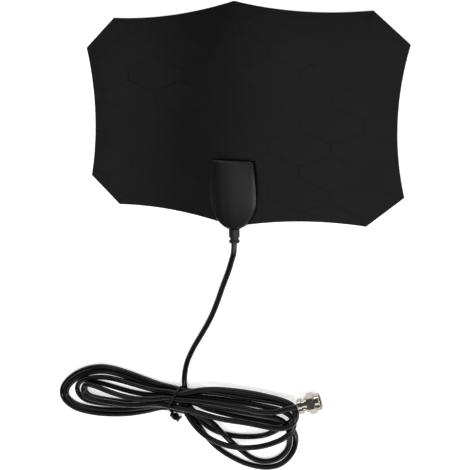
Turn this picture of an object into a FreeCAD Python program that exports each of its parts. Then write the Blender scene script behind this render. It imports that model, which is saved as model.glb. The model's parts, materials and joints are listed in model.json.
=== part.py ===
"""Indoor television antenna: a thin black film panel with a honeycomb conductor, a small
moulded housing at its lower edge, and a thin coaxial cable tied in a hank that ends in a
screw-on F plug. Millimetres. It lies on its back: +Z up, +Y towards the upper peak of the
film, floor at z = 0, origin under the middle of the panel, housing and boot together.
"""
import FreeCAD, Part
import math
import os

V = FreeCAD.Vector
X_AXIS = V(1, 0, 0)
Y_AXIS = V(0, 1, 0)
Z_AXIS = V(0, 0, 1)

# Film panel
FILM_WIDTH = 220.0
FILM_HEIGHT = 140.0          # from peak to peak
SIDE_HEIGHT = 86.0           # between the two corners of one side
SHOULDER_SPAN = 175.5        # between the left and right shoulder corners
SHOULDER_HEIGHT = 124.0      # between the upper and lower shoulder corners
SIDE_HOLLOW = 5.5            # how far a side curves in
EDGE_HOLLOW = 3.3            # how far an upper or lower edge curves in
REAR_FILM_T = 0.25
CONDUCTOR_T = 0.10
FRONT_FILM_T = 0.25
RIDGE_H = 0.12               # the conductor's lines stand out this far through the front film

# Honeycomb of conductor lines
CELL_WIDTH = 40.5
CELL_SIDE = 7.2              # upright side of a cell
CELL_RISE = 7.2              # height of a slanted side
LINE_WIDTH = 1.0
GRID_X = 4.0                 # an upright line stands this far right of the middle
GRID_Y = -32.0               # its middle is this far above the film's centre
CONDUCTOR_MARGIN = 6.0       # bare film around the conductor
FEED_GAP = 6.0               # between the left and right conductors
PAD_WIDTH = 7.0              # solid pad of each conductor under the housing
PAD_HEIGHT = 18.0

# Housing
HOUSING_DROP = 26.8          # its upper edge lies this far below the film's centre
HOUSING_TOP_WIDTH = 29.0
HOUSING_WIDTH = 33.0
HOUSING_SHOULDER = 23.2      # from the upper edge down to the widest place
HOUSING_TAIL = 21.5          # from the widest place down to the tip
HOUSING_CORNER_R = 1.5
REAR_COVER_T = 4.0
FRONT_CREST_H = 6.2          # crest of the front cover above its seat
CREST_ACROSS_R = 46.0        # curvature of the front face from side to side
CREST_ALONG_R = 200.0        # curvature of the front face from end to end
CREST_DROP = 40.0            # the crest lies this far below the film's centre
WALL = 1.6
REAR_FLOOR_T = 1.2
FRONT_BEVEL = 1.3            # round the front face
REAR_EDGE_R = 1.2
LIP_CLEAR = 0.25             # between the front cover's lip and the film's edge

# Pegs of the rear cover, in sockets of the front cover
PEG_R = 1.5
PEG_LENGTH = 3.2             # above the rear cover's rim
PEG_UPPER_X = 10.5
PEG_LOWER_X = 9.5
PEG_UPPER_DROP = 33.0        # below the film's centre
PEG_LOWER_DROP = 60.0
PEG_CLEAR = 0.03
PEG_HOLE_CLEAR = 0.30        # round a peg in the films
SOCKET_WALL = 1.1

# Circuit board and what stands on it
BOARD_WIDTH = 14.0
BOARD_LENGTH = 21.0
BOARD_T = 1.0
BOARD_DROP = 36.0            # its upper edge, below the film's centre
RIVET_X = 5.5
RIVET_DROP = 44.0
RIVET_R = 0.9
RIVET_BORE_R = 0.5
RIVET_HEAD_R = 1.7
RIVET_HEAD_T = 0.35
RIVET_CLEAR = 0.05
CORE_WIDTH = 7.0
CORE_LENGTH = 5.2
CORE_HEIGHT = 2.8
CORE_BORE_R = 0.8
CORE_BORE_X = 1.75
CORE_DROP = 50.5
WINDING_R = 0.3
WINDING_FOOT_R = 0.22
CHIP_SIZE = (2.0, 1.25, 0.7)
CHIP_X = 4.0
CHIP_DROP = 39.5

# Cable and its boot
CABLE_R = 1.9
CABLE_CLEAR = 0.05
DIELECTRIC_R = 1.2
CORE_WIRE_R = 0.22
BRAID_R = 0.35
BRAID_X = 1.62               # beside the dielectric at the jacket's end
BRAID_PAD_X = 2.6            # on the board
WIRE_STRAIGHT = 3.0          # past the jacket's end, before a wire rises
WIRE_RISE = 1.6              # a wire is level this far short of the board
WIRE_LAP = 0.9               # a wire lies this far on the board
JACKET_END_DROP = 63.0       # the jacket ends this far below the film's centre
DIELECTRIC_BARE = 1.8        # dielectric that shows past the jacket
NOTCH_WIDTH = 6.8            # slot in the films for the cable's inner end
NOTCH_TOP_DROP = 57.5
BOOT_R = 3.5
BOOT_COLLAR = 5.6            # first collar, outside the housing
BOOT_GROOVE = 1.5
BOOT_GROOVE_R = 2.75
BOOT_LIP = 2.0               # flared end
BOOT_NECK_R = 2.5            # in the housing's wall
BOOT_FLANGE_R = 3.0          # inside the housing
BOOT_FLANGE_T = 1.4
BOOT_NECK = 2.6
BOOT_ROUND_R = 0.5
SEAT_CLEAR = 0.05

# F plug, along its own axis from the sleeve's rear end
PLUG_X = 47.9                # rear end, from the boot's end
PLUG_Y = -102.5
PLUG_Z = 10.75
PLUG_ANGLE = 19.0
PLUG_TILT = 17.0             # nose down, the rear end on the hank
SLEEVE_LENGTH = 6.2
SLEEVE_R = 4.1               # between its flanges
SLEEVE_FLANGE_R = 5.2
SLEEVE_REAR_T = 2.6          # rear flange, on the cable
SLEEVE_FRONT_T = 1.3         # front flange, behind the nut
SLEEVE_BEVEL = 0.4
SLEEVE_DEPTH = 2.4           # how far the cable goes into the sleeve
TAIL_STRAIGHT = 3.0          # straight cable behind the sleeve
POST_TAIL_R = 3.05           # inside the sleeve
POST_NECK_R = 3.5
POST_NECK = 2.2
POST_FLANGE_R = 4.1
POST_FLANGE_T = 1.6
NUT_FLATS = 12.0
NUT_LENGTH = 8.2
NUT_HEX = 5.0                # length of its hexagon; a round collar follows
NUT_GROOVE = 0.6             # between the hexagon and the collar
NUT_GROOVE_DEPTH = 0.45
NUT_COLLAR_STEP = 0.25       # collar inside the flats
NUT_COLLAR_BEVEL = 0.3
NUT_ROLL = 15.0              # its upper flat leans this far to the rear
NUT_LIP = 1.6
NUT_BORE_R = 4.45
NUT_CHAMFER = 0.75
NUT_HEX_BEVEL = 0.7          # of the hexagon's corners down to the collar
NUT_RUN_CLEAR = 0.05
NUT_END_CLEAR = 0.30
PLUG_DIELECTRIC_R = 1.9
PIN_R = 0.45
PIN_SHORT = 0.5              # its tip behind the nut's front end
PIN_CLEAR = 0.02

# Tied hank, places from the boot's end
HANK_LOW = 3.9               # one layer of turns
HANK_HIGH = 7.6              # turns that cross
NECK_X = -46.0
NECK_Y = -118.2
NECK_WIDTH = 17.0
NECK_LENGTH = 20.0
NECK_HEIGHT = 10.4
TIE_WIDTH = 2.0
TIE_T = 0.8
TIE_CLEAR = 0.2
TIE_TWIST_LENGTH = 6.5
TIE_TWIST_WIDTH = 2.6
TIE_TWIST_T = 1.4
TIE_TWIST_Z = 1.6            # its middle above the floor
TIE_TWIST_TURNS = 0.75
TIE_TWIST_STEPS = 6
TIE_TWIST_ANGLE = 40.0

# Worked out from the sizes above
HOUSING_LENGTH = HOUSING_SHOULDER + HOUSING_TAIL
BOOT_LENGTH = BOOT_COLLAR + BOOT_GROOVE + BOOT_LIP
REACH_DOWN = HOUSING_DROP + HOUSING_LENGTH + BOOT_LENGTH
FILM_Y = (REACH_DOWN - FILM_HEIGHT / 2) / 2
PEAK_Y = FILM_Y + FILM_HEIGHT / 2
HOUSING_TOP_Y = FILM_Y - HOUSING_DROP
WIDEST_Y = HOUSING_TOP_Y - HOUSING_SHOULDER
TIP_Y = WIDEST_Y - HOUSING_TAIL
BOOT_END_Y = TIP_Y - BOOT_LENGTH
CONDUCTOR_Z = REAR_COVER_T + REAR_FILM_T
FRONT_FILM_Z = CONDUCTOR_Z + CONDUCTOR_T
SKIN_Z = FRONT_FILM_Z + FRONT_FILM_T
SEAT_Z = SKIN_Z + RIDGE_H
CABLE_Z = (REAR_COVER_T + SEAT_Z) / 2
CABLE_FLOOR_Z = CABLE_R + CABLE_CLEAR
BOARD_TOP_Z = SEAT_Z + BOARD_T
BEND_LENGTH = PEAK_Y - HOUSING_TOP_Y
BEND_R = (BEND_LENGTH ** 2 + REAR_COVER_T ** 2) / (2 * REAR_COVER_T)
CUT = 1.0                    # how far a cutting body runs past what it cuts
TALL = 40.0                  # height of an upright prism that is trimmed later
NEAR = 0.01                  # lengths closer than this count as equal
BEND_SHARE = 0.45            # share of a straight run that a tube's bend may take

# The cable's route from the boot to the hank and from the hank towards the plug, from the boot's end
LEAD_ROUTE = [
    (0.0, 9.0, CABLE_Z),
    (0.0, -5.8, CABLE_Z),
    (-2.8, -12.6, 3.2),
    (-5.8, -20.6, CABLE_FLOOR_Z),
    (-10.3, -31.3, CABLE_FLOOR_Z),
    (-14.6, -43.1, CABLE_FLOOR_Z),
    (-19.8, -55.2, CABLE_FLOOR_Z),
    (-27.2, -67.8, CABLE_FLOOR_Z),
    (-35.2, -80.7, CABLE_FLOOR_Z),
    (-40.9, -93.6, CABLE_FLOOR_Z),
    (-42.8, -109.3, CABLE_FLOOR_Z),
]
TAIL_ROUTE = [
    (31.0, -108.9, 8.6),
    (38.5, -106.4, 11.2),
]


def segment(a, b):
    return Part.LineSegment(a, b).toShape()


def arc(a, through, b):
    return Part.Arc(a, through, b).toShape()


def prism(face, z_low, z_high):
    """Upright solid over a flat face drawn at z = 0."""
    solid = face.extrude(V(0, 0, z_high - z_low))
    solid.translate(V(0, 0, z_low))
    return solid


def ring_of_arcs(stops):
    """Closed face from stops (corner, through, corner, through, ...) given in x and y."""
    points = [V(x, y, 0) for x, y in stops]
    count = len(points)
    edges = [arc(points[i], points[i + 1], points[(i + 2) % count]) for i in range(0, count, 2)]
    return Part.Face(Part.Wire(edges))


def turned(profile, base, direction):
    """Solid turned from (distance along, radius) stops about an axis through base."""
    stops = [V(r, 0, s) for s, r in profile]
    edges = [segment(a, b) for a, b in zip(stops, stops[1:] + stops[:1])]
    solid = Part.Face(Part.Wire(edges)).revolve(V(0, 0, 0), Z_AXIS, 360)
    solid.rotate(V(0, 0, 0), Z_AXIS.cross(direction), math.degrees(Z_AXIS.getAngle(direction)))
    solid.translate(base)
    return solid


def tube_path(points):
    """Straight runs joined by tangent arcs, each as large as its two runs allow."""
    edges = []
    radii = []
    start = points[0]
    for before, corner, after in zip(points, points[1:], points[2:]):
        back = (before - corner).normalize()
        on = (after - corner).normalize()
        half_turn = (math.pi - back.getAngle(on)) / 2
        reach = BEND_SHARE * min(before.distanceToPoint(corner), corner.distanceToPoint(after))
        radius = reach / math.tan(half_turn)
        middle = (back + on).normalize()
        inset = radius / math.cos(half_turn) - radius
        first = corner + back * reach
        last = corner + on * reach
        edges.append(segment(start, first))
        edges.append(arc(first, corner + middle * inset, last))
        radii.append(radius)
        start = last
    edges.append(segment(start, points[-1]))
    return Part.Wire(edges), radii


def tube(name, points, radius):
    """Round tube along a route; prints its bend radii and compares its volume."""
    path, radii = tube_path([V(*p) for p in points])
    first = path.Edges[0]
    section = Part.Wire(Part.makeCircle(radius, V(*points[0]), first.tangentAt(first.FirstParameter)))
    solid = path.makePipeShell([section], True, False)
    expected = math.pi * radius ** 2 * path.Length
    print(name, "length", round(path.Length, 1), "radii", [round(r, 1) for r in radii],
          "volume ratio", round(solid.Volume / expected, 4))
    return solid


def film_face():
    """Outline of the film: hollow sides, cut corners and a low peak above and below."""
    half_width = FILM_WIDTH / 2
    half_side = SIDE_HEIGHT / 2
    shoulder_x = SHOULDER_SPAN / 2
    shoulder_y = SHOULDER_HEIGHT / 2
    peak = FILM_HEIGHT / 2
    slope = V(shoulder_x, shoulder_y - peak, 0)
    inward = V(slope.y, -slope.x, 0).normalize() * EDGE_HOLLOW
    middle = V(shoulder_x / 2, (shoulder_y + peak) / 2, 0) + inward
    quarter = [
        arc(V(0, peak, 0), middle, V(shoulder_x, shoulder_y, 0)),
        segment(V(shoulder_x, shoulder_y, 0), V(half_width, half_side, 0)),
    ]
    hollow = V(half_width - SIDE_HOLLOW, 0, 0)
    side = arc(V(half_width, half_side, 0), hollow, V(half_width, -half_side, 0))
    lower = [edge.mirror(V(0, 0, 0), Y_AXIS) for edge in quarter]
    right = quarter + [side] + lower[::-1]
    left = [edge.mirror(V(0, 0, 0), X_AXIS) for edge in right]
    face = Part.Face(Part.Wire(Part.__sortEdges__(right + left)))
    face.translate(V(0, FILM_Y, 0))
    return face


def film_layer(z_low, z_high):
    """Layer of the film between two heights at the housing. It is flat on the rear cover and
    bends down from the housing's upper edge until the upper peak meets the floor."""
    reach = FILM_WIDTH / 2 + CUT
    y_low = BOOT_END_Y
    bend_end = math.asin((BEND_LENGTH + CUT) / BEND_R)
    centre = V(-reach, HOUSING_TOP_Y, REAR_COVER_T - BEND_R)

    def on_bend(z, angle):
        radius = BEND_R + z - REAR_COVER_T
        return centre + V(0, radius * math.sin(angle), radius * math.cos(angle))

    low = [on_bend(z_low, bend_end * s) for s in (0, 0.5, 1)]
    high = [on_bend(z_high, bend_end * s) for s in (0, 0.5, 1)]
    low_end = V(-reach, y_low, z_low)
    high_end = V(-reach, y_low, z_high)
    edges = [
        segment(low_end, low[0]),
        arc(*low),
        segment(low[2], high[2]),
        arc(*high[::-1]),
        segment(high[0], high_end),
        segment(high_end, low_end),
    ]
    return Part.Face(Part.Wire(edges)).extrude(V(2 * reach, 0, 0))


def honeycomb_cells():
    """Flat faces of the open cells between the conductor's lines."""
    half = CELL_WIDTH / 2
    top = CELL_SIDE / 2 + CELL_RISE
    stops = [(half, -CELL_SIDE / 2), (half, CELL_SIDE / 2), (0, top),
             (-half, CELL_SIDE / 2), (-half, -CELL_SIDE / 2), (0, -top), (half, -CELL_SIDE / 2)]
    cell = Part.Face(Part.makePolygon([V(x, y, 0) for x, y in stops])).makeOffset2D(-LINE_WIDTH / 2)
    pitch_y = CELL_SIDE + CELL_RISE
    columns = math.ceil(FILM_WIDTH / 2 / CELL_WIDTH) + 1
    rows = math.ceil((FILM_HEIGHT / 2 + abs(GRID_Y)) / pitch_y) + 1
    cells = []
    for row in range(-rows, rows + 1):
        for column in range(-columns, columns + 1):
            x = GRID_X + (column + 0.5 + 0.5 * (row % 2)) * CELL_WIDTH
            y = GRID_Y + row * pitch_y
            if abs(x) < FILM_WIDTH / 2 + half and abs(y) < FILM_HEIGHT / 2 + top:
                face = cell.copy()
                face.translate(V(x, FILM_Y + y, 0))
                cells.append(face)
    return Part.makeCompound(cells)


def peg_places():
    upper = FILM_Y - PEG_UPPER_DROP
    lower = FILM_Y - PEG_LOWER_DROP
    return [(side * x, y) for x, y in ((PEG_UPPER_X, upper), (PEG_LOWER_X, lower)) for side in (-1, 1)]


def rivet_places():
    return [(side * RIVET_X, FILM_Y - RIVET_DROP) for side in (-1, 1)]


def film_openings():
    """Holes for pegs and rivets, and the slot for the cable's inner end."""
    holes = [Part.makeCylinder(PEG_R + PEG_HOLE_CLEAR, TALL, V(x, y, 0)) for x, y in peg_places()]
    holes += [Part.makeCylinder(RIVET_R + RIVET_CLEAR, TALL, V(x, y, 0)) for x, y in rivet_places()]
    slot_top = FILM_Y - NOTCH_TOP_DROP
    slot_end = TIP_Y - CUT
    holes.append(Part.makeBox(NOTCH_WIDTH, slot_top - slot_end, TALL, V(-NOTCH_WIDTH / 2, slot_end, 0)))
    return Part.makeCompound(holes)


def films_and_conductors():
    outline = film_face()
    cells = honeycomb_cells()
    openings = film_openings()
    column = prism(outline, -CUT, TALL)
    rear = film_layer(REAR_COVER_T, CONDUCTOR_Z).common(column).cut(openings)
    skin = film_layer(FRONT_FILM_Z, SEAT_Z).common(column).cut(openings)
    pockets = film_layer(SKIN_Z, SEAT_Z + CUT).common(prism(cells, -CUT, TALL))
    front = skin.cut(pockets)

    field = outline.makeOffset2D(-CONDUCTOR_MARGIN)
    sheet = film_layer(CONDUCTOR_Z, FRONT_FILM_Z)
    near = FEED_GAP / 2
    halves = {}
    for name, side in (("left", -1), ("right", 1)):
        field_x = near if side > 0 else -near - FILM_WIDTH
        pad_x = near if side > 0 else -near - PAD_WIDTH
        window = Part.makePlane(FILM_WIDTH, FILM_HEIGHT, V(field_x, FILM_Y - FILM_HEIGHT / 2, 0))
        pad = Part.makePlane(PAD_WIDTH, PAD_HEIGHT, V(pad_x, FILM_Y - BOARD_DROP - PAD_HEIGHT, 0))
        half = field.common(window).Faces[0]
        open_cells = cells.common(half.makeOffset2D(-LINE_WIDTH)).cut(pad)
        solid = prism(half.cut(open_cells).Faces[0], -CUT, TALL)
        halves[name] = sheet.common(solid).cut(openings)
    return {
        "rear_film": rear,
        "left_element": halves["left"],
        "right_element": halves["right"],
        "front_film": front,
    }


def housing_face(inset):
    """Shield outline of the housing, drawn in by inset."""
    top_x = HOUSING_TOP_WIDTH / 2 - inset
    wide_x = HOUSING_WIDTH / 2 - inset
    top_y = HOUSING_TOP_Y - inset
    tail = HOUSING_TAIL - inset
    hollow = V(top_x, top_y, 0) - V(wide_x, WIDEST_Y, 0)
    side_r = (hollow.x ** 2 + hollow.y ** 2) / (2 * abs(hollow.x))
    middle_angle = math.asin(hollow.y / side_r) / 2
    middle_x = wide_x - side_r * (1 - math.cos(middle_angle))
    middle = V(middle_x, WIDEST_Y + side_r * math.sin(middle_angle), 0)
    side = arc(V(wide_x, WIDEST_Y, 0), middle, V(top_x, top_y, 0))
    other = side.mirror(V(0, 0, 0), X_AXIS)
    top = segment(V(top_x, top_y, 0), V(-top_x, top_y, 0))
    if tail > wide_x:
        oval = Part.Ellipse(V(0, WIDEST_Y - tail, 0), V(wide_x, WIDEST_Y, 0), V(0, WIDEST_Y, 0))
        bow = Part.ArcOfEllipse(oval, -math.pi / 2, math.pi / 2).toShape()
    else:
        oval = Part.Ellipse(V(wide_x, WIDEST_Y, 0), V(0, WIDEST_Y - tail, 0), V(0, WIDEST_Y, 0))
        bow = Part.ArcOfEllipse(oval, -math.pi, 0).toShape()
    return Part.Face(Part.Wire(Part.__sortEdges__([side, top, other, bow])))


def crest_body(sink):
    """Body under the front cover's double-curved face, lowered by sink."""
    across = CREST_ACROSS_R - sink
    ring = CREST_ALONG_R - CREST_ACROSS_R
    top_z = SEAT_Z + FRONT_CREST_H - sink
    return Part.makeTorus(ring, across, V(0, FILM_Y - CREST_DROP, top_z - ring - across), X_AXIS)


def upright_corners(solid):
    """Upright edges at the two corners of the housing's upper edge."""
    found = []
    for edge in solid.Edges:
        box = edge.BoundBox
        upright = box.XLength < NEAR and box.YLength < NEAR
        if upright and abs(box.YMax - HOUSING_TOP_Y) < NEAR:
            found.append(edge)
    return found


def boot_seat():
    """Space that the boot's neck and flange take out of the two covers."""
    profile = boot_profile(SEAT_CLEAR)
    return turned(profile, V(0, BOOT_END_Y, CABLE_Z), Y_AXIS)


def boot_profile(grow):
    """Boot from its outer end inwards, as (distance, radius) stops."""
    groove = BOOT_LIP + BOOT_GROOVE
    collar = groove + BOOT_COLLAR
    neck = collar + BOOT_NECK
    bore = CABLE_R + CABLE_CLEAR
    inner = bore if grow == 0 else 0
    taper = BOOT_ROUND_R
    return [
        (0, inner),
        (0, BOOT_R - taper + grow),
        (taper, BOOT_R + grow),
        (BOOT_LIP - taper, BOOT_R + grow),
        (BOOT_LIP, BOOT_R - taper + grow),
        (BOOT_LIP + grow, BOOT_GROOVE_R + grow),
        (groove - grow, BOOT_GROOVE_R + grow),
        (groove, BOOT_R - taper + grow),
        (groove + taper, BOOT_R + grow),
        (collar, BOOT_R + grow),
        (collar, BOOT_NECK_R + grow),
        (neck - grow, BOOT_NECK_R + grow),
        (neck - grow, BOOT_FLANGE_R + grow),
        (neck + BOOT_FLANGE_T + grow, BOOT_FLANGE_R + grow),
        (neck + BOOT_FLANGE_T + grow, inner),
    ]


def front_cover():
    outer = prism(housing_face(0), SEAT_Z, SEAT_Z + TALL)
    outer = outer.makeFillet(HOUSING_CORNER_R, upright_corners(outer)).common(crest_body(0))
    crest = [f for f in outer.Faces if isinstance(f.Surface, Part.Toroid)]
    outer = outer.makeChamfer(FRONT_BEVEL, crest[0].Edges)
    hollow = prism(housing_face(WALL), SEAT_Z - CUT, SEAT_Z + TALL).common(crest_body(WALL))
    shell = outer.cut(hollow)
    sockets = []
    bores = []
    for x, y in peg_places():
        sockets.append(Part.makeCylinder(PEG_R + SOCKET_WALL, TALL, V(x, y, SEAT_Z)).common(outer))
        depth = REAR_COVER_T + PEG_LENGTH + PEG_HOLE_CLEAR - SEAT_Z
        bores.append(Part.makeCylinder(PEG_R + PEG_CLEAR, depth + CUT, V(x, y, SEAT_Z - CUT)))
    lip_face = housing_face(0).cut(housing_face(WALL)).cut(film_face().makeOffset2D(LIP_CLEAR))
    lip = prism(lip_face, REAR_COVER_T, SEAT_Z)
    cover = shell.fuse(sockets + [lip]).cut(bores + [boot_seat()])
    return cover.removeSplitter()


def rear_cover():
    outer = prism(housing_face(0), 0, REAR_COVER_T)
    outer = outer.makeFillet(HOUSING_CORNER_R, upright_corners(outer))
    sole = [e for e in outer.Edges if e.BoundBox.ZMax < NEAR]
    outer = outer.makeFillet(REAR_EDGE_R, sole)
    tray = outer.cut(prism(housing_face(WALL), REAR_FLOOR_T, REAR_COVER_T + CUT))
    depth = REAR_COVER_T - REAR_FLOOR_T
    pegs = []
    for x, y in peg_places():
        foot = V(x, y, REAR_FLOOR_T)
        pegs.append(Part.makeCylinder(PEG_R + SOCKET_WALL, depth, foot))
        pegs.append(Part.makeCylinder(PEG_R, depth + PEG_LENGTH, foot))
    return tray.fuse(pegs).cut(boot_seat()).removeSplitter()


def circuit_board():
    lower_y = FILM_Y - BOARD_DROP - BOARD_LENGTH
    board = Part.makeBox(BOARD_WIDTH, BOARD_LENGTH, BOARD_T, V(-BOARD_WIDTH / 2, lower_y, SEAT_Z))
    holes = [Part.makeCylinder(RIVET_R + RIVET_CLEAR, TALL, V(x, y, 0)) for x, y in rivet_places()]
    return board.cut(holes)


def contact_rivet(x, y):
    """Hollow rivet that clamps the board, the films and one conductor together."""
    low = REAR_COVER_T - RIVET_HEAD_T
    high = BOARD_TOP_Z + RIVET_HEAD_T
    shank = Part.makeCylinder(RIVET_R, high - low, V(x, y, low))
    heads = [Part.makeCylinder(RIVET_HEAD_R, RIVET_HEAD_T, V(x, y, z)) for z in (low, BOARD_TOP_Z)]
    bore = Part.makeCylinder(RIVET_BORE_R, high - low + 2 * CUT, V(x, y, low - CUT))
    return shank.fuse(heads).cut(bore).removeSplitter()


def balun_core():
    """Two-hole ferrite block with rounded sides."""
    y = FILM_Y - CORE_DROP
    z = BOARD_TOP_Z + CORE_HEIGHT / 2
    corner = V(-CORE_WIDTH / 2, y - CORE_LENGTH / 2, BOARD_TOP_Z)
    block = Part.makeBox(CORE_WIDTH, CORE_LENGTH, CORE_HEIGHT, corner)
    sides = [e for e in block.Edges if e.BoundBox.YLength > CORE_LENGTH - CUT]
    block = block.makeFillet(CORE_HEIGHT / 3, sides)
    base_y = y - CORE_LENGTH / 2 - CUT
    bores = [Part.makeCylinder(CORE_BORE_R, CORE_LENGTH + 2 * CUT, V(side * CORE_BORE_X, base_y, z), Y_AXIS)
             for side in (-1, 1)]
    return block.cut(bores)


def balun_winding():
    """One closed turn through both holes of the core, with a lead down to the board."""
    y = FILM_Y - CORE_DROP
    z = BOARD_TOP_Z + CORE_HEIGHT / 2
    half = CORE_LENGTH / 2 + WINDING_R
    pieces = [Part.makeCylinder(WINDING_R, 2 * half, V(side * CORE_BORE_X, y - half, z), Y_AXIS)
              for side in (-1, 1)]
    section = Part.Face(Part.Wire(Part.makeCircle(WINDING_R, V(CORE_BORE_X, 0, 0), Y_AXIS)))
    for side in (-1, 1):
        end = section.revolve(V(0, 0, 0), Z_AXIS, 180 * side)
        end.translate(V(0, y + side * half, z))
        pieces.append(end)
    foot_y = y - half - CORE_BORE_X
    pieces.append(Part.makeCylinder(WINDING_FOOT_R, z - BOARD_TOP_Z, V(0, foot_y, BOARD_TOP_Z)))
    return pieces[0].fuse(pieces[1:])


def chip_capacitors():
    length, width, height = CHIP_SIZE
    y = FILM_Y - CHIP_DROP
    chips = []
    for side in (-1, 1):
        corner = V(side * CHIP_X - length / 2, y - width / 2, BOARD_TOP_Z)
        chips.append(Part.makeBox(length, width, height, corner))
    return Part.makeCompound(chips)


def cable_inner_end():
    """Jacket of the cable inside the boot and housing."""
    end_y = FILM_Y - JACKET_END_DROP
    start_y = BOOT_END_Y + LEAD_ROUTE[0][1]
    return Part.makeCylinder(CABLE_R, end_y - start_y, V(0, start_y, CABLE_Z), Y_AXIS)


def cable_dielectric():
    end_y = FILM_Y - JACKET_END_DROP
    body = Part.makeCylinder(DIELECTRIC_R, DIELECTRIC_BARE, V(0, end_y, CABLE_Z), Y_AXIS)
    bore = Part.makeCylinder(CORE_WIRE_R + PIN_CLEAR, DIELECTRIC_BARE + CUT, V(0, end_y, CABLE_Z), Y_AXIS)
    return body.cut(bore)


def board_wire(name, start_x, end_x, radius):
    """Wire from the cable's end up on to the board."""
    start_y = FILM_Y - JACKET_END_DROP
    board_y = FILM_Y - BOARD_DROP - BOARD_LENGTH
    high = BOARD_TOP_Z + radius
    middle_x = (start_x + end_x) / 2
    route = [
        (start_x, start_y, CABLE_Z),
        (start_x, start_y + WIRE_STRAIGHT, CABLE_Z),
        (middle_x, board_y - WIRE_RISE, high),
        (end_x, board_y + WIRE_LAP, high),
    ]
    return tube(name, route, radius)


def strain_relief():
    return turned(boot_profile(0), V(0, BOOT_END_Y, CABLE_Z), Y_AXIS)


def from_boot(point):
    x, y, z = point
    return (x, BOOT_END_Y + y, z)


def cable_lead():
    return tube("cable_lead", [from_boot(p) for p in LEAD_ROUTE], CABLE_R)


def plug_place(distance):
    """Point on the plug's axis, at a distance from the sleeve's rear end."""
    return V(PLUG_X, BOOT_END_Y + PLUG_Y, PLUG_Z) + plug_axis() * distance


def plug_axis():
    angle = math.radians(PLUG_ANGLE)
    tilt = math.radians(PLUG_TILT)
    return V(math.cos(angle) * math.cos(tilt), math.sin(angle) * math.cos(tilt), -math.sin(tilt))


def cable_tail(hank):
    """Last stretch of cable, from the hank up into the plug's sleeve."""
    route = [from_boot(p) for p in TAIL_ROUTE]
    route += [tuple(plug_place(d)) for d in (-TAIL_STRAIGHT, SLEEVE_DEPTH)]
    return tube("cable_tail", route, CABLE_R).cut(hank)


def cable_hank():
    """Outer shape of the tied turns: a long lobe to the left of the tie, a narrow sheaf of turns
    to its right and a wide loop that sags below them."""
    left = ring_of_arcs([(-50.0, -110.4), (-84.0, -107.3), (-110.0, -104.6), (-137.0, -114.0),
                         (-153.4, -133.2), (-149.4, -143.2), (-136.0, -146.0), (-95.0, -141.2),
                         (-50.0, -127.6), (-49.0, -119.0)])
    left_eye = ring_of_arcs([(-88.0, -124.6), (-105.0, -122.4), (-122.0, -121.0), (-128.4, -125.2),
                             (-120.0, -129.4), (-105.0, -128.6)])
    sheaf = ring_of_arcs([(-40.0, -110.4), (-10.0, -104.2), (32.0, -104.0), (46.3, -111.0),
                          (37.0, -122.4), (10.0, -128.8), (-42.0, -127.6), (-43.0, -119.0)])
    loop = ring_of_arcs([(-42.0, -126.0), (-26.5, -145.0), (2.0, -158.0), (27.0, -155.8),
                         (43.0, -137.6), (43.6, -129.6), (36.0, -121.4), (0.0, -124.0)])
    low_eye = ring_of_arcs([(-3.0, -145.2), (10.0, -151.6), (25.0, -148.4), (35.4, -138.4),
                            (34.6, -130.6), (16.0, -142.0)])
    high_eye = ring_of_arcs([(-17.0, -130.8), (0.0, -135.6), (18.0, -130.4), (0.0, -130.0)])
    low = prism(left, 0, HANK_LOW).fuse(prism(loop, 0, HANK_LOW)).cut([
        prism(eye, -CUT, HANK_LOW + CUT) for eye in (left_eye, low_eye, high_eye)])
    neck = Part.makeBox(NECK_LENGTH, NECK_WIDTH, NECK_HEIGHT,
                        V(NECK_X - NECK_LENGTH / 2, NECK_Y - NECK_WIDTH / 2, 0))
    groove = Part.makeBox(TIE_WIDTH + 2 * TIE_CLEAR, NECK_WIDTH + 2 * CUT, TIE_T + TIE_CLEAR + CUT,
                          V(NECK_X - TIE_WIDTH / 2 - TIE_CLEAR, NECK_Y - NECK_WIDTH / 2 - CUT, -CUT))
    hank = prism(sheaf, 0, HANK_HIGH).fuse([low, neck]).cut(groove).removeSplitter()
    hank.translate(V(0, BOOT_END_Y, 0))
    return hank


def cable_tie():
    """Flat tie round the hank's neck, its two ends twisted together."""
    half = NECK_WIDTH / 2 + TIE_CLEAR
    low = TIE_T
    high = NECK_HEIGHT + TIE_CLEAR
    y = BOOT_END_Y + NECK_Y
    x = NECK_X - TIE_WIDTH / 2
    outer = Part.makeBox(TIE_WIDTH, 2 * (half + TIE_T), high + TIE_T, V(x, y - half - TIE_T, 0))
    corners = [e for e in outer.Edges if e.BoundBox.XLength > TIE_WIDTH / 2]
    outer = outer.makeFillet(2 * TIE_T, corners)
    inner = Part.makeBox(TIE_WIDTH + 2 * CUT, 2 * half, high - low, V(x - CUT, y - half, low))
    band = outer.cut(inner)
    sections = []
    for step in range(TIE_TWIST_STEPS + 1):
        share = step / TIE_TWIST_STEPS
        ring = Part.Wire(Part.Ellipse(V(0, 0, 0), TIE_TWIST_WIDTH / 2, TIE_TWIST_T / 2).toShape())
        ring.rotate(V(0, 0, 0), Z_AXIS, 360 * TIE_TWIST_TURNS * share)
        ring.translate(V(0, 0, TIE_TWIST_LENGTH * share))
        sections.append(ring)
    twist = Part.makeLoft(sections, True, False)
    twist.rotate(V(0, 0, 0), X_AXIS, 90)
    twist.rotate(V(0, 0, 0), Z_AXIS, TIE_TWIST_ANGLE)
    twist.translate(V(NECK_X, y - half - TIE_T, TIE_TWIST_Z))
    return band.fuse(twist).removeSplitter()


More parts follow.
